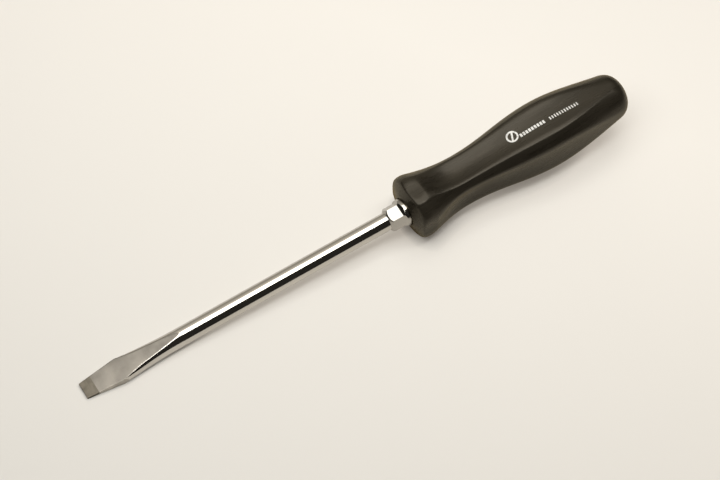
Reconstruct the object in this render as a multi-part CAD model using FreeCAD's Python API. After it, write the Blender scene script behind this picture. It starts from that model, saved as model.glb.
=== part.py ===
import FreeCAD, Part
import math
import os

# Keystone-tip slotted screwdriver with a hexagonal bolster and a fluted, moulded handle.
# Millimetres. The origin is the centre of the blade's end face. +X runs along the tool from
# the tip to the butt, and +Z is square to the flat faces of the tip.

V = FreeCAD.Vector
AXIS = V(1, 0, 0)
CENTRE = V(0, 0, 0)

# Blade: one steel forging, with a ground tip, a round shank and a tang inside the handle.
shank_diameter = 7.9375          # 5/16 inch bar
blade_reach = 152.4              # 6 inches, from the tip to the front of the handle
tip_thickness = 1.1
tip_width = 7.4
tip_edge_break = 0.15            # small chamfer round the end face
corner_round = 0.35              # buffed corners between the flat faces, the sides and the flare
face_half_angle = 4.4            # slope of each flat face, degrees
side_angle = 5.35                # slope of each ground side, degrees
flare_length = 44.0              # from the end face to where the forged flare meets the bar
flare_radius = 235.0             # radius of the flare's outline

# Tang: the end of the bar, with a pair of wings swaged out of it that key it in the handle.
tang_length = 70.0               # part of the bar inside the handle
tang_end_chamfer = 1.2
wing_start = 16.0                # behind the front of the handle
wing_length = 12.0
wing_height = 1.33               # each wing stands this far out of the bar
wing_thickness = 2.6
wing_ramp = 3.0                  # each end of a wing slopes back to the bar
swage_depth = 0.6                # how far the bar is flattened between the wings

# Bolster: a steel hexagon with a round collar, pressed on the shank against the handle.
hex_wall = 0.79375               # 1/32 inch of steel over the bar at each flat: a 3/8 inch hexagon
hex_turn = 11.0                  # from +Z towards -Y, degrees
bolster_nose = 8.9               # from the front of the handle to the front of the nose
nose_wall = 0.12                 # width of the flat ring at the front of the nose
nose_crown = 0.06                # bulge of the nose's 45 degree outline, each way
collar_step = 0.65               # the collar stands this far outside the hexagon's corners
collar_front = 1.45              # from the front of the handle to the front of the collar's rim
collar_edge_round = 0.3          # on the back rim
seat_depth = 0.8                 # how far the collar is let into the handle
seat_gap = 0.15                  # radial clearance round the collar in its seat
bolster_fit = 0.0                # radial clearance on the shank: a press fit, line to line

# Handle: each reach is measured from the front of the handle.
handle_length = 110.8
front_land = 0.6                 # flat ring on the front face, round the bolster's seat
shoulder_reach = 1.75            # the front slopes back from that ring as a shallow cone
shoulder_radius = 12.4
shoulder_pull = 1.3              # the pulls are the lengths of the outline's tangents
crest_pull = 2.3
flange_radius = 14.05
flange_reach = 5.2
flange_pull = 2.9
neck_pull = 13.8
neck_radius = 10.95
neck_reach = 28.1
belly_radius = 15.0
belly_reach = 70.5
belly_pull = 16.0
taper_pull = 11.0
butt_radius = 10.5
butt_reach = 103.7               # where the side turns into the domed end
butt_taper = 9.0                 # slope of the side where the dome starts, degrees
dome_fullness = 0.65             # 0.55 is a quarter ellipse, and more is squarer

# Flutes: four shallow hollows with floors that follow the handle's outline.
flute_count = 4
rim_depth = 1.6                  # depth of the flute's floor below the flange, neck and belly
neck_depth = 2.7
belly_depth = 2.85
rim_run = 2.8                    # the floor stays at rim depth this far past the flange
rim_pull = 2.2
neck_lead = 1.6                  # the floor is lowest this far in front of the neck
neck_floor_pull = 9.0
butt_floor = 9.5
butt_floor_pull = 17.0
butt_floor_taper = 6.7           # slope of the floor at the butt, degrees
rim_hollow_radius = 80.0         # radius of the flute across the handle, at the same places
neck_hollow_radius = 23.0
belly_hollow_radius = 62.0
butt_hollow_radius = 90.0
ridge_round = 1.2                # rounding of the ridges between the flutes and the lands
flute_half_width = 12.0          # half width of the cutter, well past the ridges
sections_per_span = 4

shank_radius = shank_diameter / 2
wing_radius = shank_radius + wing_height
hex_across_flats = shank_diameter + 2 * (bolster_fit + hex_wall)
hex_corner_radius = hex_across_flats / math.sqrt(3)
collar_radius = hex_corner_radius + collar_step
seat_radius = collar_radius + seat_gap
front_face_radius = seat_radius + front_land
handle_front = blade_reach
tang_end = handle_front + tang_length
handle_end = handle_front + handle_length
flange_x = handle_front + flange_reach
neck_x = handle_front + neck_reach
belly_x = handle_front + belly_reach
butt_x = handle_front + butt_reach


def revolved(edges):
    """Solid of revolution about the tool's axis from a closed outline in the XZ plane."""
    return Part.Face(Part.Wire(edges)).revolve(CENTRE, AXIS, 360)


def outline_point(x, radius):
    return V(x, 0, radius)


def line(start, end):
    return Part.LineSegment(start, end).toShape()


def polyline(points):
    return [line(a, b) for a, b in zip(points, points[1:])]


def bezier(points):
    curve = Part.BezierCurve()
    curve.setPoles(points)
    return curve


def prism_between(outline, low, high, direction):
    """Prism over a polygon drawn through the origin, from low to high along direction."""
    moved = [p + direction * low for p in outline]
    face = Part.Face(Part.makePolygon(moved + moved[:1]))
    return face.extrude(direction * (high - low))


# ---------------------------------------------------------------- blade

def flare_and_bar():
    """Round bar whose end is forged out into a flare, before any grinding."""
    sweep = math.asin(flare_length / flare_radius)
    flare_end = flare_radius * (1 - math.cos(sweep))
    flare_middle = flare_radius * (1 - math.cos(sweep / 2))
    start = outline_point(0, shank_radius + flare_end)
    middle_x = flare_length - flare_radius * math.sin(sweep / 2)
    middle = outline_point(middle_x, shank_radius + flare_middle)
    meet = outline_point(flare_length, shank_radius)
    chamfer_start = outline_point(tang_end - tang_end_chamfer, shank_radius)
    chamfer_end = outline_point(tang_end, shank_radius - tang_end_chamfer)
    edges = [Part.Arc(start, middle, meet).toShape()]
    edges += polyline([meet, chamfer_start, chamfer_end, outline_point(tang_end, 0), CENTRE, start])
    return revolved(edges)


def tip_envelope():
    """Space between the two ground faces and the two ground sides; wide open behind the flare."""
    reach = tang_end + 1
    half = tip_thickness / 2
    half_far = half + reach * math.tan(math.radians(face_half_angle))
    faces = [V(0, 0, -half), V(0, 0, half), V(reach, 0, half_far), V(reach, 0, -half_far)]
    side = tip_width / 2
    side_far = side + reach * math.tan(math.radians(side_angle))
    sides = [V(0, -side, 0), V(0, side, 0), V(reach, side_far, 0), V(reach, -side_far, 0)]
    between_faces = prism_between(faces, -side_far, side_far, V(0, 1, 0))
    between_sides = prism_between(sides, -half_far, half_far, V(0, 0, 1))
    return between_faces.common(between_sides)


def wings():
    """Pair of flat wings: a thin plate across the bar with sloping ends."""
    start = handle_front + wing_start
    end = start + wing_length
    outline = [
        V(start, -shank_radius, 0),
        V(start, shank_radius, 0),
        V(start + wing_ramp, wing_radius, 0),
        V(end - wing_ramp, wing_radius, 0),
        V(end, shank_radius, 0),
        V(end, -shank_radius, 0),
        V(end - wing_ramp, -wing_radius, 0),
        V(start + wing_ramp, -wing_radius, 0),
    ]
    return prism_between(outline, -wing_thickness / 2, wing_thickness / 2, V(0, 0, 1))


def swage_flats():
    """Material pressed out of the bar above and below the wings."""
    start = handle_front + wing_start
    flat = shank_radius - swage_depth
    block = Part.makeBox(wing_length, 2 * shank_radius, shank_radius)
    upper = block.copy()
    upper.translate(V(start, -shank_radius, flat))
    lower = block.copy()
    lower.translate(V(start, -shank_radius, -flat - shank_radius))
    return upper.fuse(lower)


def end_face_edges(solid):
    """The four edges of the flat end face."""
    return [e for e in solid.Edges if all(abs(v.X) < 1e-6 for v in e.Vertexes)]


def long_corners(solid):
    """Edges that run back from the tip beside the flat faces, as far as the end of the flare."""
    edges = []
    for edge in solid.Edges:
        box = edge.BoundBox
        if box.XLength > tip_width and box.XMax < flare_length + 1:
            edges.append(edge)
    return edges


def blade():
    body = flare_and_bar().common(tip_envelope())
    body = body.makeFillet(corner_round, long_corners(body))
    body = body.makeChamfer(tip_edge_break, end_face_edges(body))
    return body.cut(swage_flats()).fuse(wings()).removeSplitter()


# ---------------------------------------------------------------- bolster

def bolster_blank():
    """Turned ring as wide as the collar, with a slightly crowned 45 degree nose."""
    bore = shank_radius + bolster_fit
    ring = bore + nose_wall
    nose = handle_front - bolster_nose
    back = handle_front + seat_depth
    rise = collar_radius - ring
    nose_ring = outline_point(nose, ring)
    nose_middle = outline_point(nose + rise / 2 - nose_crown, ring + rise / 2 + nose_crown)
    nose_end = outline_point(nose + rise, collar_radius)
    edges = [Part.Arc(nose_ring, nose_middle, nose_end).toShape()]
    rim_back = outline_point(back, collar_radius)
    edges += polyline([nose_end, rim_back, outline_point(back, bore), outline_point(nose, bore), nose_ring])
    return revolved(edges)


def flat_cutter():
    """Wedge above +Z that leaves one hexagon flat and a 45 degree shoulder up to the collar."""
    flat = hex_across_flats / 2
    rim = handle_front - collar_front
    before = handle_front - bolster_nose - 1
    outline = [
        V(before, 0, flat),
        V(rim - collar_radius + flat, 0, flat),
        V(rim, 0, collar_radius),
        V(rim, 0, collar_radius + 1),
        V(before, 0, collar_radius + 1),
    ]
    return prism_between(outline, -collar_radius, collar_radius, V(0, 1, 0))


def bolster():
    body = bolster_blank()
    for step in range(6):
        cutter = flat_cutter()
        cutter.rotate(CENTRE, AXIS, hex_turn + step * 60)
        body = body.cut(cutter)
    rims = [edge for edge in body.Edges if is_ring(edge, collar_radius)]
    return body.makeFillet(collar_edge_round, rims)


def is_ring(edge, radius):
    """True for a full circle of this radius."""
    curve = edge.Curve
    return isinstance(curve, Part.Circle) and abs(curve.Radius - radius) < 1e-6


# ---------------------------------------------------------------- handle

def handle_outline():
    """Curves of the handle's outline, from the front cone to the centre of the butt."""
    p = outline_point
    front = handle_front
    dome = handle_end - butt_x
    slope = math.tan(math.radians(butt_taper))
    shoulder = p(front + shoulder_reach, shoulder_radius)
    cone = shoulder - p(front, front_face_radius)
    front_edge = [
        shoulder,
        shoulder + cone * (shoulder_pull / cone.Length),
        p(flange_x - crest_pull, flange_radius),
        p(flange_x, flange_radius),
    ]
    flange_to_neck = [
        p(flange_x, flange_radius),
        p(flange_x + flange_pull, flange_radius),
        p(neck_x - neck_pull, neck_radius),
        p(neck_x, neck_radius),
    ]
    neck_to_belly = [
        p(neck_x, neck_radius),
        p(neck_x + belly_pull, neck_radius),
        p(belly_x - belly_pull, belly_radius),
        p(belly_x, belly_radius),
    ]
    belly_to_butt = [
        p(belly_x, belly_radius),
        p(belly_x + taper_pull, belly_radius),
        p(butt_x - taper_pull, butt_radius + taper_pull * slope),
        p(butt_x, butt_radius),
    ]
    dome_pull = dome_fullness * dome
    butt_dome = [
        p(butt_x, butt_radius),
        p(butt_x + dome_pull, butt_radius - dome_pull * slope),
        p(handle_end, dome_fullness * butt_radius),
        p(handle_end, 0),
    ]
    spans = [front_edge, flange_to_neck, neck_to_belly, belly_to_butt, butt_dome]
    return [bezier(span) for span in spans]


def handle_blank():
    edges = [curve.toShape() for curve in handle_outline()]
    butt_centre = outline_point(handle_end, 0)
    front_centre = outline_point(handle_front, 0)
    front_ring = outline_point(handle_front, front_face_radius)
    shoulder = outline_point(handle_front + shoulder_reach, shoulder_radius)
    edges += polyline([butt_centre, front_centre, front_ring, shoulder])
    return revolved(edges)


def flute_spans():
    """Floor of a flute, as (curve, hollow radius at its start, hollow radius at its end)."""
    p = outline_point
    rim_floor = flange_radius - rim_depth
    neck_floor = neck_radius - neck_depth
    belly_floor = belly_radius - belly_depth
    rim_x = flange_x + rim_run
    low_x = neck_x - neck_lead
    along_rim = [p(handle_front - 2, rim_floor), p(rim_x, rim_floor)]
    rim_to_neck = [
        p(rim_x, rim_floor),
        p(rim_x + rim_pull, rim_floor),
        p(low_x - neck_floor_pull, neck_floor),
        p(low_x, neck_floor),
    ]
    neck_to_belly = [
        p(low_x, neck_floor),
        p(low_x + belly_pull, neck_floor),
        p(belly_x - belly_pull, belly_floor),
        p(belly_x, belly_floor),
    ]
    butt_slope = math.tan(math.radians(butt_floor_taper))
    belly_to_butt = [
        p(belly_x, belly_floor),
        p(belly_x + taper_pull, belly_floor),
        p(handle_end - butt_floor_pull, butt_floor + butt_floor_pull * butt_slope),
        p(handle_end, butt_floor),
    ]
    return [
        (bezier(along_rim), rim_hollow_radius, rim_hollow_radius),
        (bezier(rim_to_neck), rim_hollow_radius, neck_hollow_radius),
        (bezier(neck_to_belly), neck_hollow_radius, belly_hollow_radius),
        (bezier(belly_to_butt), belly_hollow_radius, butt_hollow_radius),
    ]


def flute_section(floor_point, hollow_radius):
    """Closed wire across the handle: the flute's arc below, and a flat top outside the handle."""
    half = flute_half_width
    rise = hollow_radius - math.sqrt(hollow_radius ** 2 - half ** 2)
    x = floor_point.x
    floor = floor_point.z
    top = belly_radius + flute_half_width
    left = V(x, -half, floor + rise)
    right = V(x, half, floor + rise)
    arc = Part.Arc(left, V(x, 0, floor), right).toShape()
    return Part.Wire([arc] + polyline([right, V(x, half, top), V(x, -half, top), left]))


def flute_cutter():
    sections = []
    for curve, radius_start, radius_end in flute_spans():
        for step in range(sections_per_span):
            t = step / sections_per_span
            ease = t * t * (3 - 2 * t)
            bend = 1 / radius_start + (1 / radius_end - 1 / radius_start) * ease
            sections.append(flute_section(curve.value(t), 1 / bend))
    last_curve, _, last_radius = flute_spans()[-1]
    sections.append(flute_section(last_curve.value(1), last_radius))
    return Part.makeLoft(sections, True)


def bolster_seat():
    """Shallow counterbore that the collar is let into."""
    return Part.makeCylinder(seat_radius, seat_depth, V(handle_front, 0, 0), AXIS)


def ridge_edges(solid):
    """Edges that run along the outside of the handle, between a flute and a land."""
    inside = wing_radius + 1
    edges = []
    for edge in solid.Edges:
        if edge.Degenerated or edge.BoundBox.XLength < 1:
            continue
        middle = edge.valueAt((edge.FirstParameter + edge.LastParameter) / 2)
        on_seam = abs(middle.y) < 1e-6
        if math.hypot(middle.y, middle.z) > inside and not on_seam:
            edges.append(edge)
    return edges


def handle(blade_solid):
    """Fluted handle, moulded round the tang, so the tang's own shape is its pocket."""
    body = handle_blank()
    cutter = flute_cutter()
    for step in range(flute_count):
        flute = cutter.copy()
        flute.rotate(CENTRE, AXIS, step * 360 / flute_count)
        body = body.cut(flute)
    body = body.Solids[0]
    body = body.makeFillet(ridge_round, ridge_edges(body))
    return body.cut(bolster_seat()).cut(blade_solid)


# ---------------------------------------------------------------- parts

os.makedirs("parts", exist_ok=True)
blade_solid = blade()
nodes = {
    "blade": blade_solid,
    "hex_bolster": bolster(),
    "handle": handle(blade_solid),
}
for name, shape in nodes.items():
    solid = shape.Solids[0]
    solid.exportStep("parts/" + name + ".step")
    box = solid.optimalBoundingBox(False)
    low = [round(v, 2) for v in (box.XMin, box.YMin, box.ZMin)]
    high = [round(v, 2) for v in (box.XMax, box.YMax, box.ZMax)]
    print(name, len(shape.Solids), "solid", solid.isValid(), round(solid.Volume, 1), "mm3", low, high)
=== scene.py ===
import math

import bpy
import bmesh
from mathutils import Matrix, Vector


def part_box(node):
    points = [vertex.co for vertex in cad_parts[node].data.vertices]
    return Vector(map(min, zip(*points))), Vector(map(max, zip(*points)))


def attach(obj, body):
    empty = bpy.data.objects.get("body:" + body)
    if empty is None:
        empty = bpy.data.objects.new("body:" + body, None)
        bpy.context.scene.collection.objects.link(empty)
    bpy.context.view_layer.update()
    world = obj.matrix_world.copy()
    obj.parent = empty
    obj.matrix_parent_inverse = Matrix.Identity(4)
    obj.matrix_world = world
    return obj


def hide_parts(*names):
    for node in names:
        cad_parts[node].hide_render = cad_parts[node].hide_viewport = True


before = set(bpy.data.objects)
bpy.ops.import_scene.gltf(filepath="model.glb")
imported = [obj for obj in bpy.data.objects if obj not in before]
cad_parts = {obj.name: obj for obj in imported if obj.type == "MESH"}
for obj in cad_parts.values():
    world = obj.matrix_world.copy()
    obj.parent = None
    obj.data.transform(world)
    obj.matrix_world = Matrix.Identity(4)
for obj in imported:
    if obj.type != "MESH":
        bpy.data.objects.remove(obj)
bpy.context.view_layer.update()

# Looks of a keystone-tip screwdriver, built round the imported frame. Lengths are in millimetres
# in the frame's own axes (+X from tip to butt, +Z square to the tip's faces) until a mesh is made.

MM = 0.001
TURN = 2 * math.pi
TINY = 1e-6
CLEAR = 0.01

BLADE_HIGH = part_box("blade")[1] / MM
BOLSTER_LOW, BOLSTER_HIGH = (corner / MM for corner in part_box("hex_bolster"))
HANDLE_LOW, HANDLE_HIGH = (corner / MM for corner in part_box("handle"))

# Blade
SHANK_RADIUS = BLADE_HIGH.z
TANG_END = BLADE_HIGH.x
TANG_CHAMFER = 1.2
TIP_HALF_THICKNESS = 0.55
TIP_HALF_WIDTH = 3.7
EDGE_BREAK = 0.15
FACE_SLOPE = math.tan(math.radians(4.4))
SIDE_SLOPE = math.tan(math.radians(5.35))
FLARE_END = 44.0
FLARE_RADIUS = 235.0
TIP_CORNER_BLEND = 0.3
FLARE_CORNER_BLEND = 0.20
BARE_TIP = 5.3
GROUND_FACE_END, GROUND_SIDE_END = 45, 20
GROUND_DEPTH = 0.05

# Buffed bevel between each face and the flare: places along the blade, with distances from the axis
BEVEL_BLEND = 0.4
BEVEL_TURN = math.radians(31)
BEVEL_LEAST_COSINE = 0.2
BEVEL_DEPTHS = [(17.0, 4.6), (18.4, 4.19), (21.8, 3.94), (25.0, 3.85), (34.0, 3.92), (45.0, 4.12)]

# Tang
WING_START = 16.0
WING_LENGTH = 12.0
WING_RADIUS = SHANK_RADIUS + 1.33
WING_HALF_THICKNESS = 1.3
WING_RAMP = 3.0
SWAGED_HALF_HEIGHT = SHANK_RADIUS - 0.6

# Bolster
NOSE = BOLSTER_LOW.x
BOLSTER_BACK = BOLSTER_HIGH.x
COLLAR_RADIUS = BOLSTER_HIGH.y
HEX_FLAT = 9.525 / 2
HEX_TURN = math.radians(11)
NOSE_WALL = 0.12
NOSE_CROWN = 0.12
COLLAR_STEP_BACK = 1.45
HEX_BLEND = 0.10
COLLAR_ROUND = 0.3

# Handle
HANDLE_FRONT = HANDLE_LOW.x
HANDLE_END = HANDLE_HIGH.x
SEAT_DEPTH = 0.8
SEAT_GAP = 0.15
SEAT_EDGE, SEAT_LAND = 0.1, 0.3
FRONT_FACE_RADIUS = COLLAR_RADIUS + SEAT_GAP + 0.6
SHOULDER_X = HANDLE_FRONT + 1.75
SHOULDER_RADIUS = 12.4
SHOULDER_PULL = 1.3
CREST_PULL = 2.3
FLANGE_RADIUS = 14.05
FLANGE_X = HANDLE_FRONT + 5.2
FLANGE_PULL = 2.9
NECK_RADIUS = 10.95
NECK_X = HANDLE_FRONT + 28.1
NECK_PULL = 13.8
BELLY_RADIUS = 15.0
BELLY_X = HANDLE_FRONT + 70.5
BELLY_PULL = 16.0
TAPER_PULL = 11.0
BUTT_RADIUS = 10.5
BUTT_X = HANDLE_FRONT + 103.7
BUTT_SLOPE = math.tan(math.radians(9))
DOME_FULLNESS = 0.65
RIM_FLOOR = FLANGE_RADIUS - 1.6
NECK_FLOOR = NECK_RADIUS - 2.7
BELLY_FLOOR = BELLY_RADIUS - 2.85
BUTT_FLOOR = 9.5
RIM_X = FLANGE_X + 2.8
RIM_PULL = 2.2
LOW_X = NECK_X - 1.6
LOW_PULL = 9.0
BUTT_FLOOR_PULL = 17.0
BUTT_FLOOR_SLOPE = math.tan(math.radians(6.7))
RIM_HOLLOW, NECK_HOLLOW, BELLY_HOLLOW, BUTT_HOLLOW = 80.0, 23.0, 62.0, 90.0
RIDGE_BLEND, BUTT_RIDGE_BLEND = 1.1, 0.35

# Printed mark, on the flute that faces +Z
MARK_X, MARK_Y = 206.4, 0.4
MARK_SINK, MARK_RISE = 0.06, 0.03
SCREW_HEAD, SCREW_LINE = 2.7, 0.75
SLOT_WIDTH, SLOT_TURN = 0.8, math.radians(65)
TICK_Y = MARK_Y - 1.7
# Rows of ticks: first place, pitch, width, height, count
TICK_ROWS = [(MARK_X + 3.4, 1.42, 0.95, 1.6, 9), (MARK_X + 18.1, 1.25, 0.55, 1.5, 12)]

# Mesh density: counts of rings and directions, and the spacing of rings
SIDE_RAYS, FACE_RAYS = 14, 22
LEAST_WIDTH_SQUARED = 0.3
HEAD_STEP, HEAD_RINGS = 0.4, 130
BAR_START, BAR_STEP, BAR_RINGS = 52, 4.5, 23
WING_RINGS, BORE_WING_RINGS = 24, 12
HEX_RAYS = 12
NOSE_LENGTH, NOSE_RINGS = 2.3, 24
FLAT_STEP, FLAT_RINGS = 0.3, 12
STEP_LEAD, STEP_LENGTH, STEP_RINGS = 1.6, 1.7, 24
ROUND_RINGS = 6
HANDLE_RAYS = 320
OUTLINE_RINGS = (12, 24, 60, 80, 70, 36)

# Camera, in metres and degrees
VIEW_AZIMUTH, VIEW_ELEVATION, VIEW_ROLL = -29.056, 59.909, -3.60
VIEW_TARGET = Vector((0.1295, -0.00143, 0))
VIEW_DISTANCE = 0.8280
LENS, SENSOR = 100, 36
FAR_CLIP = 10

# Table, in metres
TABLE_HALF = 1.6
TABLE_GAP = 0.00003

# Light, in metres. The table's painted glow, the painted shade near the tool that dims it, and the sky are fitted
# to the photograph
KEY_RADIANCE = 6.6
FILL_RADIANCE = 3.5
GLOW_TINT = (1.0, 0.90, 0.78, 1)
GLOW_DIRECTION = (0.83, 0.56, 0)
GLOW_START, GLOW_END = -0.35, 0.22
GLOW_LOW, GLOW_HIGH = 0.03, 0.45
# Reach of the painted shade that dims the table's glow, round the shank and round the handle
SHANK_PAINTED_SHADE_REACH, HANDLE_PAINTED_SHADE_REACH = 0.0015, 0.008
SOFT_BOX_X = 0.16
WALL_CENTRE, WALL_EDGE, WALL_FADE = 0.2, 0.5, 0.25
SKY_DARK = 0.03
SKY_LEVELS = [(0.12, SKY_DARK), (0.30, 0.9), (0.44, 1.35), (0.58, 0.95), (0.72, 0.68), (0.88, 0.52), (1.0, 0.44)]
SOFT_BOX_COLOUR = (1.0, 0.985, 0.955)
SKY_TINT = (1.0, 0.94, 0.83)

# Materials. NOISE_LOW and NOISE_HIGH are the noise values that most of a texture lies between
CHROME_TONES = [(0.3, (0.50, 0.475, 0.43)), (0.7, (0.545, 0.52, 0.475))]
NOISE_LOW, NOISE_HIGH = 0.3, 0.7


# ---------------------------------------------------------------- curves and surfaces

def bezier(points, t):
    """Point of a cubic curve given by its four control points."""
    a, b, c, d = points
    s = 1 - t
    return tuple(s ** 3 * p + 3 * s * s * t * q + 3 * s * t * t * u + t ** 3 * v
                 for p, q, u, v in zip(a, b, c, d))


def blend_min(a, b, width):
    """The smaller of a and b, rounded where they are within width of each other."""
    overlap = max(width - abs(a - b), 0)
    return min(a, b) - overlap * overlap / (4 * width)


def ease(t):
    """Smooth step from 0 to 1."""
    return t * t * (3 - 2 * t)


def flare_radius(x):
    """Radius of the forged flare, and of the bar behind it."""
    before = max(FLARE_END - x, 0)
    return SHANK_RADIUS + FLARE_RADIUS - math.sqrt(FLARE_RADIUS ** 2 - before ** 2)


def tang_radius(x, across, up):
    """Radius of the tang in the direction (across, up), with its wings and the flats above and below."""
    along = x - HANDLE_FRONT - WING_START
    if not 0 <= along <= WING_LENGTH:
        return SHANK_RADIUS
    ramp = min(along, WING_LENGTH - along, WING_RAMP) / WING_RAMP
    reach = SHANK_RADIUS + (WING_RADIUS - SHANK_RADIUS) * ramp
    bar = min(SHANK_RADIUS, SWAGED_HALF_HEIGHT / max(up, TINY))
    wing = min(reach / max(across, TINY), WING_HALF_THICKNESS / max(up, TINY))
    return max(bar, wing)


def bevel_distance(x):
    """Distance from the axis to the bevel, or one clear of the steel where there is no bevel."""
    start, depth = BEVEL_DEPTHS[0]
    if x <= start:
        return 2 * depth
    for (x0, d0), (x1, d1) in zip(BEVEL_DEPTHS, BEVEL_DEPTHS[1:]):
        if x <= x1:
            return d0 + (d1 - d0) * ((x - x0) / (x1 - x0))
    return 2 * SHANK_RADIUS


def blade_radius(x, angle):
    """Distance from the axis to the blade's surface, at this angle from +Y towards +Z."""
    across, up = abs(math.cos(angle)), abs(math.sin(angle))
    if x > HANDLE_FRONT:
        return tang_radius(x, across, up)
    face = (TIP_HALF_THICKNESS + FACE_SLOPE * x) / max(up, TINY)
    side = (TIP_HALF_WIDTH + SIDE_SLOPE * x) / max(across, TINY)
    ground = blend_min(face, side, TIP_CORNER_BLEND)
    away = math.cos(math.atan2(across, up) - BEVEL_TURN)
    forged = blend_min(flare_radius(x), bevel_distance(x) / max(away, BEVEL_LEAST_COSINE), BEVEL_BLEND)
    return blend_min(ground, forged, FLARE_CORNER_BLEND)


def handle_outline():
    """The handle's outline as cubic spans in (x, radius), from the front face to the butt."""
    dome = HANDLE_END - BUTT_X
    pull = DOME_FULLNESS * dome
    cone_x, cone_r = SHOULDER_X - HANDLE_FRONT, SHOULDER_RADIUS - FRONT_FACE_RADIUS
    cone = math.hypot(cone_x, cone_r)
    step_x, step_r = cone_x / cone, cone_r / cone
    return [
        [(HANDLE_FRONT + cone_x * k / 3, FRONT_FACE_RADIUS + cone_r * k / 3) for k in range(4)],
        [(SHOULDER_X, SHOULDER_RADIUS),
         (SHOULDER_X + SHOULDER_PULL * step_x, SHOULDER_RADIUS + SHOULDER_PULL * step_r),
         (FLANGE_X - CREST_PULL, FLANGE_RADIUS), (FLANGE_X, FLANGE_RADIUS)],
        [(FLANGE_X, FLANGE_RADIUS), (FLANGE_X + FLANGE_PULL, FLANGE_RADIUS),
         (NECK_X - NECK_PULL, NECK_RADIUS), (NECK_X, NECK_RADIUS)],
        [(NECK_X, NECK_RADIUS), (NECK_X + BELLY_PULL, NECK_RADIUS),
         (BELLY_X - BELLY_PULL, BELLY_RADIUS), (BELLY_X, BELLY_RADIUS)],
        [(BELLY_X, BELLY_RADIUS), (BELLY_X + TAPER_PULL, BELLY_RADIUS),
         (BUTT_X - TAPER_PULL, BUTT_RADIUS + TAPER_PULL * BUTT_SLOPE), (BUTT_X, BUTT_RADIUS)],
        [(BUTT_X, BUTT_RADIUS), (BUTT_X + pull, BUTT_RADIUS - pull * BUTT_SLOPE),
         (HANDLE_END, DOME_FULLNESS * BUTT_RADIUS), (HANDLE_END, 0)],
    ]


def flute_floor():
    """The flute's floor as cubic spans in (x, height), each with the hollow's radius at its two ends."""
    slope_lift = BUTT_FLOOR_PULL * BUTT_FLOOR_SLOPE
    return [
        ([(RIM_X, RIM_FLOOR), (RIM_X + RIM_PULL, RIM_FLOOR), (LOW_X - LOW_PULL, NECK_FLOOR), (LOW_X, NECK_FLOOR)],
         RIM_HOLLOW, NECK_HOLLOW),
        ([(LOW_X, NECK_FLOOR), (LOW_X + BELLY_PULL, NECK_FLOOR),
          (BELLY_X - BELLY_PULL, BELLY_FLOOR), (BELLY_X, BELLY_FLOOR)], NECK_HOLLOW, BELLY_HOLLOW),
        ([(BELLY_X, BELLY_FLOOR), (BELLY_X + TAPER_PULL, BELLY_FLOOR),
          (HANDLE_END - BUTT_FLOOR_PULL, BUTT_FLOOR + slope_lift), (HANDLE_END, BUTT_FLOOR)],
         BELLY_HOLLOW, BUTT_HOLLOW),
    ]


def flute_at(x):
    """(floor height, hollow radius) of the flutes at x."""
    for span, radius_start, radius_end in flute_floor():
        if x <= span[0][0]:
            return span[0][1], radius_start
        if x <= span[3][0]:
            low, high = 0.0, 1.0
            for _ in range(30):
                middle = (low + high) / 2
                if bezier(span, middle)[0] < x:
                    low = middle
                else:
                    high = middle
            bend = 1 / radius_start + (1 / radius_end - 1 / radius_start) * ease(low)
            return bezier(span, low)[1], 1 / bend
    return BUTT_FLOOR, BUTT_HOLLOW


def flute_radius(floor, hollow, angle):
    """Distance from the axis to the nearest flute's surface, or a large value where the ray misses it."""
    off = (angle + TURN / 8) % (TURN / 4) - TURN / 8
    centre = floor + hollow
    under_root = hollow ** 2 - (centre * math.sin(off)) ** 2
    if under_root < 0:
        return 10 * BELLY_RADIUS
    return centre * math.cos(off) - math.sqrt(under_root)


def ridge_blend(x):
    """Width of the rounding along the ridges, narrower where the flutes run out at the butt."""
    along = min(max((x - BELLY_X) / (BUTT_X - BELLY_X), 0), 1)
    return RIDGE_BLEND + (BUTT_RIDGE_BLEND - RIDGE_BLEND) * along


def bolster_radius(x, angle):
    """Distance from the axis to the bolster's outside, at this angle from +Y towards +Z."""
    rise = COLLAR_RADIUS - SHANK_RADIUS - NOSE_WALL
    along = min(max((x - NOSE) / rise, 0), 1)
    crown = NOSE_CROWN * math.sin(math.pi * along)
    blank = SHANK_RADIUS + NOSE_WALL + rise * along + crown
    rim = HANDLE_FRONT - COLLAR_STEP_BACK
    flat = max(HEX_FLAT, COLLAR_RADIUS - (rim - x))
    off = (angle - TURN / 4 - HEX_TURN + TURN / 12) % (TURN / 6) - TURN / 12
    blank = min(blank, COLLAR_RADIUS)
    return blend_min(blank, flat / math.cos(off), HEX_BLEND)


# ---------------------------------------------------------------- meshes

def to_object(name, mesh):
    """Object in the scene made from a bmesh, which is freed."""
    bmesh.ops.recalc_face_normals(mesh, faces=mesh.faces)
    data = bpy.data.meshes.new(name)
    mesh.to_mesh(data)
    mesh.free()
    piece = bpy.data.objects.new(name, data)
    bpy.context.scene.collection.objects.link(piece)
    return piece


def lathe(name, rows, closed_ends):
    """Closed mesh from rings of (x, y, z) points, all with as many points.

    With closed_ends, both ends close on the axis. Without, the last ring joins the first, which leaves a bore.
    """
    mesh = bmesh.new()
    rings = [[mesh.verts.new(Vector(p) * MM) for p in row] for row in rows]
    count = len(rings[0])
    pairs = list(zip(rings, rings[1:]))
    if not closed_ends:
        pairs.append((rings[-1], rings[0]))
    for before, after in pairs:
        for i in range(count):
            j = (i + 1) % count
            mesh.faces.new((before[i], before[j], after[j], after[i]))
    for ring in (rings[0], rings[-1]) if closed_ends else ():
        centre = mesh.verts.new(Vector((ring[0].co.x, 0, 0)))
        for i in range(count):
            mesh.faces.new((centre, ring[i], ring[(i + 1) % count]))
    piece = to_object(name, mesh)
    piece.data.shade_smooth()
    return piece


def ring_points(x, angles, radius_of):
    """Ring at x, with the radius given by radius_of(angle), each angle from +Y towards +Z."""
    return [(x, radius_of(a) * math.cos(a), radius_of(a) * math.sin(a)) for a in angles]


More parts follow.
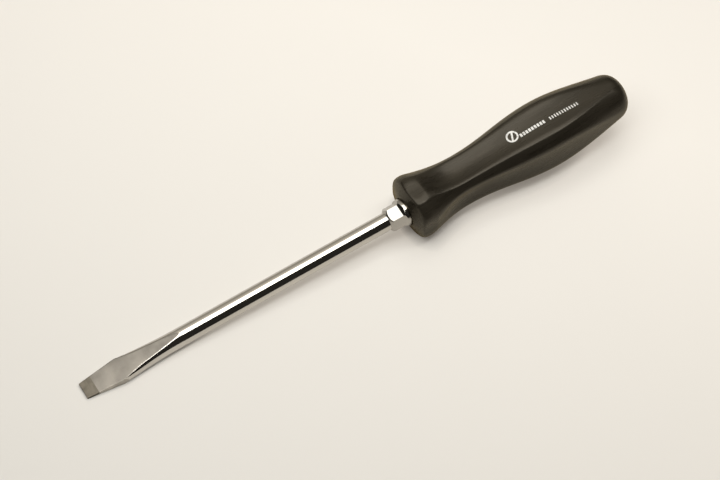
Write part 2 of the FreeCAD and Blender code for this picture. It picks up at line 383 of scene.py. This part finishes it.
def sharpen(piece, degrees):
    """Mark edges sharper than this, so that the shading breaks there."""
    piece.data.set_sharp_from_angle(angle=math.radians(degrees))


def spread(low, high, count):
    """Even values from low, without high itself."""
    return [low + (high - low) * i / count for i in range(count)]


def blade_angles(x):
    """Directions round the blade, crowded where a flat face meets a side."""
    half_height = TIP_HALF_THICKNESS + FACE_SLOPE * min(x, FLARE_END)
    radius = flare_radius(x)
    round_width = math.sqrt(max(radius ** 2 - half_height ** 2, LEAST_WIDTH_SQUARED))
    half_width = min(TIP_HALF_WIDTH + SIDE_SLOPE * x, round_width)
    corner = math.atan2(half_height, half_width)
    side = [corner * (1 - (1 - t) ** 2) for t in spread(0, 1, SIDE_RAYS)]
    face = [math.atan2(half_height, half_width * (1 - t ** 2)) for t in spread(0, 1, FACE_RAYS)]
    half = side + face + [TURN / 4] + [math.pi - a for a in reversed(side[1:] + face)]
    return half + [a + math.pi for a in half]


def wing_stations(count):
    """Places along the tang's wings, with one more just outside each end."""
    start = HANDLE_FRONT + WING_START
    inner = [start + WING_LENGTH * i / count for i in range(count + 1)]
    return [start - CLEAR] + inner + [start + WING_LENGTH + CLEAR]


def build_blade():
    """Blade with its tang, in one closed mesh."""
    stations = [EDGE_BREAK] + [HEAD_STEP * i for i in range(1, HEAD_RINGS)]
    stations += [BAR_START + BAR_STEP * i for i in range(BAR_RINGS)] + [HANDLE_FRONT]
    stations += wing_stations(WING_RINGS) + [TANG_END - TANG_CHAMFER]
    first = blade_angles(EDGE_BREAK)
    rows = [ring_points(0, first, lambda a: blade_radius(0, a) - EDGE_BREAK)]
    for x in stations:
        rows.append(ring_points(x, blade_angles(x), lambda a: blade_radius(x, a)))
    rows.append(ring_points(TANG_END, blade_angles(TANG_END), lambda a: SHANK_RADIUS - TANG_CHAMFER))
    piece = lathe("screwdriver_blade", rows, closed_ends=True)
    sharpen(piece, 30)
    return piece


def build_bolster():
    """Hexagon with its nose and collar, bored for the shank."""
    corner_first = [TURN / 12 * (1 - (1 - t) ** 2) for t in spread(0, 1, HEX_RAYS)]
    flat = [-a for a in reversed(corner_first[1:])] + corner_first + [TURN / 12]
    angles = [TURN / 4 + HEX_TURN + side * TURN / 6 + a for side in range(6) for a in flat]
    rim = HANDLE_FRONT - COLLAR_STEP_BACK
    bore = SHANK_RADIUS + CLEAR
    stations = [NOSE + NOSE_LENGTH * i / NOSE_RINGS for i in range(NOSE_RINGS)]
    stations += [NOSE + NOSE_LENGTH + i * FLAT_STEP for i in range(FLAT_RINGS)]
    stations += [rim - STEP_LEAD + STEP_LENGTH * i / STEP_RINGS for i in range(STEP_RINGS + 1)]
    rows = [ring_points(NOSE, angles, lambda a: bore)]
    for x in stations:
        rows.append(ring_points(x, angles, lambda a: bolster_radius(x, a)))
    for i in range(ROUND_RINGS + 1):
        turn = TURN / 4 * i / ROUND_RINGS
        x = BOLSTER_BACK - COLLAR_ROUND * (1 - math.sin(turn))
        radius = COLLAR_RADIUS - COLLAR_ROUND * (1 - math.cos(turn))
        rows.append(ring_points(x, angles, lambda a: radius))
    rows.append(ring_points(BOLSTER_BACK, angles, lambda a: bore))
    piece = lathe("bolster", rows, closed_ends=False)
    sharpen(piece, 35)
    return piece


def build_handle():
    """Handle from the end of the tang's bore, out through the collar's seat, and back over the outside."""
    angles = spread(0, TURN, HANDLE_RAYS)
    seat = COLLAR_RADIUS + SEAT_GAP
    bore = [TANG_END] + wing_stations(BORE_WING_RINGS)[::-1] + [HANDLE_FRONT + SEAT_DEPTH]
    rows = [ring_points(x, angles, lambda a: blade_radius(x, a) + CLEAR) for x in bore]
    for x, radius in ((HANDLE_FRONT + SEAT_DEPTH, seat), (HANDLE_FRONT + SEAT_EDGE, seat),
                      (HANDLE_FRONT, seat + SEAT_EDGE), (HANDLE_FRONT, seat + SEAT_LAND)):
        rows.append(ring_points(x, angles, lambda a: radius))
    for span, count in zip(handle_outline(), OUTLINE_RINGS):
        for t in spread(0, 1, count):
            x, radius = bezier(span, t)
            floor, hollow = flute_at(x)
            rounding = ridge_blend(x)
            rows.append(ring_points(
                x, angles, lambda a: blend_min(radius, flute_radius(floor, hollow, a), rounding)))
    piece = lathe("fluted_handle", rows, closed_ends=True)
    sharpen(piece, 50)
    return piece


def flute_surface(x, y):
    """Height of the flute that faces +Z."""
    floor, hollow = flute_at(x)
    return floor + hollow - math.sqrt(hollow ** 2 - y ** 2)


def print_patch(mesh, outer, inner=None):
    """Closed skin of ink on the marked flute. outer lists (x, y); a ring also has an inner list as long."""
    levels = [[mesh.verts.new(Vector((x, y, flute_surface(x, y) + lift)) * MM) for x, y in outline]
              for outline in (outer, inner) if outline for lift in (-MARK_SINK, MARK_RISE)]
    count = len(outer)
    if inner:
        low, high, low_in, high_in = levels
        for i in range(count):
            j = (i + 1) % count
            mesh.faces.new((low[i], low[j], high[j], high[i]))
            mesh.faces.new((low_in[j], low_in[i], high_in[i], high_in[j]))
            mesh.faces.new((high[i], high[j], high_in[j], high_in[i]))
            mesh.faces.new((low[j], low[i], low_in[i], low_in[j]))
        return
    low, high = levels
    for i in range(count):
        j = (i + 1) % count
        mesh.faces.new((low[i], low[j], high[j], high[i]))
    mesh.faces.new(high)
    mesh.faces.new(list(reversed(low)))


def circle(x, y, radius, count=40):
    return [(x + radius * math.cos(a), y + radius * math.sin(a)) for a in spread(0, TURN, count)]


def bar(x, y, length, width, turn=0.0):
    """Rectangle centred at (x, y), with its long side turned from +X."""
    along = (math.cos(turn) * length / 2, math.sin(turn) * length / 2)
    across = (-math.sin(turn) * width / 2, math.cos(turn) * width / 2)
    return [(x + p * along[0] + q * across[0], y + p * along[1] + q * across[1])
            for p, q in ((-1, -1), (1, -1), (1, 1), (-1, 1))]


def build_marking():
    """Printed mark with no lettering: the head of a slotted screw, and two rows of ticks."""
    mesh = bmesh.new()
    print_patch(mesh, circle(MARK_X, MARK_Y, SCREW_HEAD), circle(MARK_X, MARK_Y, SCREW_HEAD - SCREW_LINE))
    print_patch(mesh, bar(MARK_X, MARK_Y, 2 * (SCREW_HEAD - SCREW_LINE), SLOT_WIDTH, SLOT_TURN))
    for start, pitch, width, height, count in TICK_ROWS:
        for k in range(count):
            print_patch(mesh, bar(start + pitch * k, TICK_Y, width, height))
    return to_object("grip_marking", mesh)


# ---------------------------------------------------------------- materials

def new_material(name):
    material = bpy.data.materials.new(name)
    material.use_nodes = True
    nodes = material.node_tree.nodes
    return material, nodes, material.node_tree.links, nodes["Principled BSDF"]


def noise(nodes, links, scale, detail=4.0, stretch=(1, 1, 1)):
    """Noise over the object's own coordinates, with scale in features per metre."""
    where = nodes.new("ShaderNodeTexCoord")
    place = nodes.new("ShaderNodeMapping")
    place.inputs["Scale"].default_value = stretch
    texture = nodes.new("ShaderNodeTexNoise")
    texture.inputs["Scale"].default_value = scale
    texture.inputs["Detail"].default_value = detail
    links.new(where.outputs["Object"], place.inputs["Vector"])
    links.new(place.outputs["Vector"], texture.inputs["Vector"])
    return texture


def ramp(nodes, links, source, stops):
    """Colour ramp over a noise value. stops is [(position, colour), ...]."""
    node = nodes.new("ShaderNodeValToRGB")
    while len(node.color_ramp.elements) < len(stops):
        node.color_ramp.elements.new(0.5)
    for element, (position, colour) in zip(node.color_ramp.elements, stops):
        element.position = position
        element.color = (*colour, 1)
    links.new(source, node.inputs["Fac"])
    return node


def map_range(nodes, links, source, from_low, from_high, to_low, to_high):
    """Output of a node that maps one range of values on another."""
    node = nodes.new("ShaderNodeMapRange")
    for socket, value in (("From Min", from_low), ("From Max", from_high),
                          ("To Min", to_low), ("To Max", to_high)):
        node.inputs[socket].default_value = value
    links.new(source, node.inputs["Value"])
    return node.outputs["Result"]


def spread_value(nodes, links, source, low, high):
    """Value that follows a noise from low to high."""
    return map_range(nodes, links, source, NOISE_LOW, NOISE_HIGH, low, high)


def bump(nodes, links, source, shader, strength, distance):
    node = nodes.new("ShaderNodeBump")
    node.inputs["Strength"].default_value = strength
    node.inputs["Distance"].default_value = distance
    links.new(source, node.inputs["Height"])
    links.new(node.outputs["Normal"], shader.inputs["Normal"])


def chrome(name, level, polish):
    """Bright plate; level scales its reflectance and polish is its roughness, least and most."""
    material, nodes, links, shader = new_material(name)
    shader.inputs["Metallic"].default_value = 1
    cloud = noise(nodes, links, 90, stretch=(0.4, 1, 1))
    tone = ramp(nodes, links, cloud.outputs["Fac"],
                [(stop, tuple(level * c for c in tint)) for stop, tint in CHROME_TONES])
    links.new(tone.outputs["Color"], shader.inputs["Base Color"])
    fine = noise(nodes, links, 900, stretch=(0.2, 1, 1))
    links.new(spread_value(nodes, links, fine.outputs["Fac"], *polish), shader.inputs["Roughness"])
    return material


def ground_steel(name, level):
    """Plate over a ground face; level is the mean reflectance."""
    material, nodes, links, shader = new_material(name)
    shader.inputs["Metallic"].default_value = 1
    cloud = noise(nodes, links, 130)
    dark, pale = (tuple(level * k * c for c in (1.0, 0.93, 0.82)) for k in (0.76, 1.22))
    tone = ramp(nodes, links, cloud.outputs["Fac"], [(0.3, dark), (0.7, pale)])
    links.new(tone.outputs["Color"], shader.inputs["Base Color"])
    marks = noise(nodes, links, 500, stretch=(6, 0.3, 1))
    links.new(spread_value(nodes, links, marks.outputs["Fac"], 0.30, 0.42), shader.inputs["Roughness"])
    bump(nodes, links, marks.outputs["Fac"], shader, 0.15, 0.00005)
    return material


def bare_steel():
    """Dark steel without plate, at the very tip."""
    material, nodes, links, shader = new_material("bare_tip")
    shader.inputs["Metallic"].default_value = 1
    cloud = noise(nodes, links, 400)
    tone = ramp(nodes, links, cloud.outputs["Fac"],
                [(0.3, (0.105, 0.094, 0.074)), (0.7, (0.15, 0.134, 0.108))])
    links.new(tone.outputs["Color"], shader.inputs["Base Color"])
    marks = noise(nodes, links, 900, stretch=(3, 0.5, 1))
    links.new(spread_value(nodes, links, marks.outputs["Fac"], 0.42, 0.55), shader.inputs["Roughness"])
    bump(nodes, links, marks.outputs["Fac"], shader, 0.2, 0.00005)
    return material


def black_plastic():
    """Black moulding. The coat has no thickness of its own: its tint only warms the grazing reflections."""
    material, nodes, links, shader = new_material("black_moulding")
    cloud = noise(nodes, links, 160, stretch=(0.25, 1, 1))
    tone = ramp(nodes, links, cloud.outputs["Fac"],
                [(0.3, (0.0115, 0.0098, 0.0072)), (0.7, (0.0225, 0.0195, 0.0150))])
    links.new(tone.outputs["Color"], shader.inputs["Base Color"])
    streaks = noise(nodes, links, 520, stretch=(0.12, 1, 1))
    links.new(spread_value(nodes, links, streaks.outputs["Fac"], 0.22, 0.36), shader.inputs["Roughness"])
    bump(nodes, links, streaks.outputs["Fac"], shader, 0.12, 0.00012)
    shader.inputs["IOR"].default_value = 1.375
    shader.inputs["Coat Weight"].default_value = 1
    shader.inputs["Coat IOR"].default_value = 1
    shader.inputs["Coat Tint"].default_value = (0.932, 0.909, 0.85, 1)
    shader.inputs["Specular Tint"].default_value = (1.0, 0.935, 0.83, 1)
    return material


def white_print():
    """Thin matt ink with worn spots."""
    material, nodes, links, shader = new_material("white_ink")
    cloud = noise(nodes, links, 1400)
    tone = ramp(nodes, links, cloud.outputs["Fac"],
                [(0.32, (0.30, 0.29, 0.26)), (0.48, (0.66, 0.65, 0.62))])
    links.new(tone.outputs["Color"], shader.inputs["Base Color"])
    links.new(spread_value(nodes, links, cloud.outputs["Fac"], 0.45, 0.6), shader.inputs["Roughness"])
    bump(nodes, links, cloud.outputs["Fac"], shader, 0.1, 0.00003)
    return material


def painted_glow_table():
    """Pale table with a painted glow, a pool of painted light that grows towards +X and +Y and lifts its shadows,
    except close to the tool, where painted shade dims the glow.

    How close grows from the shank to the handle, to match the shadows in the photograph.
    """
    material, nodes, links, shader = new_material("table")
    cloud = noise(nodes, links, 4)
    tone = ramp(nodes, links, cloud.outputs["Fac"],
                [(0.2, (0.39, 0.388, 0.372)), (0.8, (0.41, 0.408, 0.392))])
    links.new(tone.outputs["Color"], shader.inputs["Base Color"])
    shader.inputs["Roughness"].default_value = 0.9
    shader.inputs["Specular IOR Level"].default_value = 0
    shader.inputs["Emission Color"].default_value = GLOW_TINT
    where = nodes.new("ShaderNodeTexCoord")
    along = nodes.new("ShaderNodeVectorMath")
    along.operation = "DOT_PRODUCT"
    along.inputs[1].default_value = GLOW_DIRECTION
    links.new(where.outputs["Object"], along.inputs[0])
    level = map_range(nodes, links, along.outputs["Value"], GLOW_START, GLOW_END, GLOW_LOW, GLOW_HIGH)
    # Painted shade: ambient occlusion dims the painted glow close to the tool, standing in for its contact shadow
    painted_contact_shade = nodes.new("ShaderNodeAmbientOcclusion")
    painted_contact_shade.samples = 16
    split = nodes.new("ShaderNodeSeparateXYZ")
    links.new(where.outputs["Object"], split.inputs["Vector"])
    reach = map_range(nodes, links, split.outputs["X"], NOSE * MM, FLANGE_X * MM, SHANK_PAINTED_SHADE_REACH, HANDLE_PAINTED_SHADE_REACH)
    links.new(reach, painted_contact_shade.inputs["Distance"])
    glow = nodes.new("ShaderNodeMath")
    glow.operation = "MULTIPLY"
    links.new(level, glow.inputs[0])
    links.new(painted_contact_shade.outputs["AO"], glow.inputs[1])
    links.new(glow.outputs["Value"], shader.inputs["Emission Strength"])
    return material


def dress_blade(piece):
    """Bright plate, the ground faces and sides in front of the flare's end, and the bare tip."""
    plate, ground_face, bare, ground_side = range(4)
    for material in (chrome("bright_plate", 1.0, (0.05, 0.10)), ground_steel("ground_face", 0.178),
                     bare_steel(), ground_steel("ground_side", 0.40)):
        piece.data.materials.append(material)
    for face in piece.data.polygons:
        centre = face.center / MM
        height = TIP_HALF_THICKNESS + FACE_SLOPE * centre.x
        width = TIP_HALF_WIDTH + SIDE_SLOPE * centre.x
        if centre.x < BARE_TIP:
            face.material_index = bare
        elif abs(centre.z) > height - GROUND_DEPTH and centre.x < GROUND_FACE_END:
            face.material_index = ground_face
        elif abs(centre.y) > width - GROUND_DEPTH and centre.x < GROUND_SIDE_END:
            face.material_index = ground_side
        else:
            face.material_index = plate


# ---------------------------------------------------------------- stage

def build_floor():
    """Table top that the tool rests on: the lower edge of the tip and the rim of the flange touch it."""
    slope = (HANDLE_LOW.z + TIP_HALF_THICKNESS) / FLANGE_X
    corners = [(x * TABLE_HALF, y * TABLE_HALF, -TIP_HALF_THICKNESS * MM + slope * x * TABLE_HALF - TABLE_GAP)
               for x, y in ((-1, -1), (1, -1), (1, 1), (-1, 1))]
    mesh = bpy.data.meshes.new("table_top")
    mesh.from_pydata(corners, [], [(0, 1, 2, 3)])
    floor = bpy.data.objects.new("table_top", mesh)
    bpy.context.scene.collection.objects.link(floor)
    mesh.materials.append(painted_glow_table())


def aim(thing, place, target):
    """Put a thing in its place, with its -Z towards the target."""
    thing.location = place
    thing.rotation_euler = (Vector(target) - Vector(place)).to_track_quat("-Z", "Y").to_euler()


def area_light(name, place, target, size, size_y, radiance, colour):
    """Soft box, with its power worked out from the radiance of its face."""
    light = bpy.data.lights.new(name, "AREA")
    light.shape = "RECTANGLE"
    light.size = size
    light.size_y = size_y
    light.energy = radiance * math.pi * size * size_y
    light.color = colour
    holder = bpy.data.objects.new(name, light)
    holder.visible_camera = False
    bpy.context.scene.collection.objects.link(holder)
    aim(holder, place, target)


def build_sky():
    """Dim room with one pale wall on the +Y side, brightest high up; the -Y side is dark."""
    world = bpy.data.worlds.new("studio")
    bpy.context.scene.world = world
    world.use_nodes = True
    nodes, links = world.node_tree.nodes, world.node_tree.links
    where = nodes.new("ShaderNodeTexCoord")
    split = nodes.new("ShaderNodeSeparateXYZ")
    links.new(where.outputs["Generated"], split.inputs["Vector"])
    tone = ramp(nodes, links, split.outputs["Y"],
                [(y, tuple(level * c for c in SKY_TINT)) for y, level in SKY_LEVELS])
    distance = nodes.new("ShaderNodeMath")
    distance.operation = "SUBTRACT"
    distance.inputs[1].default_value = WALL_CENTRE
    links.new(split.outputs["X"], distance.inputs[0])
    size = nodes.new("ShaderNodeMath")
    size.operation = "ABSOLUTE"
    links.new(distance.outputs["Value"], size.inputs[0])
    inside = map_range(nodes, links, size.outputs["Value"], WALL_EDGE, WALL_EDGE - WALL_FADE, 0, 1)
    mix = nodes.new("ShaderNodeMix")
    mix.data_type = "RGBA"
    mix.inputs[6].default_value = tuple(SKY_DARK * c for c in SKY_TINT) + (1,)
    links.new(inside, mix.inputs[0])
    links.new(tone.outputs["Color"], mix.inputs[7])
    links.new(mix.outputs[2], nodes["Background"].inputs["Color"])
    nodes["Background"].inputs["Strength"].default_value = 1.0


def overhead_light(name, height, length, near_degrees, far_degrees, radiance):
    """Soft box over the tool, between two angles from the vertical, positive towards -Y."""
    near = -height * math.tan(math.radians(near_degrees))
    far = -height * math.tan(math.radians(far_degrees))
    middle = (near + far) / 2
    place, target = (SOFT_BOX_X, middle, height), (SOFT_BOX_X, middle, 0)
    area_light(name, place, target, length, abs(far - near), radiance, SOFT_BOX_COLOUR)


def build_lights():
    overhead_light("key", 1.2, 2.0, 16, 1, KEY_RADIANCE)
    overhead_light("fill", 0.4, 0.6, 1, -24, FILL_RADIANCE)
    build_sky()


def build_camera():
    """Camera at the photograph's viewing angle."""
    azimuth, elevation, roll = (math.radians(v) for v in (VIEW_AZIMUTH, VIEW_ELEVATION, VIEW_ROLL))
    flat = math.cos(elevation)
    back = Vector((math.sin(azimuth) * flat, -math.cos(azimuth) * flat, math.sin(elevation)))
    right = Vector((math.cos(azimuth), math.sin(azimuth), 0))
    up = back.cross(right)
    rolled_right = right * math.cos(roll) + up * math.sin(roll)
    rolled_up = up * math.cos(roll) - right * math.sin(roll)
    data = bpy.data.cameras.new("camera")
    data.lens = LENS
    data.sensor_width = SENSOR
    data.clip_end = FAR_CLIP
    camera = bpy.data.objects.new("camera", data)
    bpy.context.scene.collection.objects.link(camera)
    turn = Matrix((rolled_right, rolled_up, back)).transposed().to_4x4()
    camera.matrix_world = Matrix.Translation(VIEW_TARGET + back * VIEW_DISTANCE) @ turn
    bpy.context.scene.camera = camera


# ---------------------------------------------------------------- assembly

blade = build_blade()
dress_blade(blade)
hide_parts("blade")

bolster = build_bolster()
# Plate dimmed to 0.72 of the blade's as painted shade, so that the hexagon's lower faces reflect the table darker
bolster.data.materials.append(chrome("bolster_plate_painted_shade", 0.72, (0.12, 0.20)))
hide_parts("hex_bolster")

handle = build_handle()
handle.data.materials.append(black_plastic())
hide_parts("handle")

marking = build_marking()
marking.data.materials.append(white_print())
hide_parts("handle")

for piece in (blade, bolster, handle, marking):
    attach(piece, "root")

build_floor()
build_lights()
build_camera()
bpy.context.scene.view_settings.view_transform = "Standard"
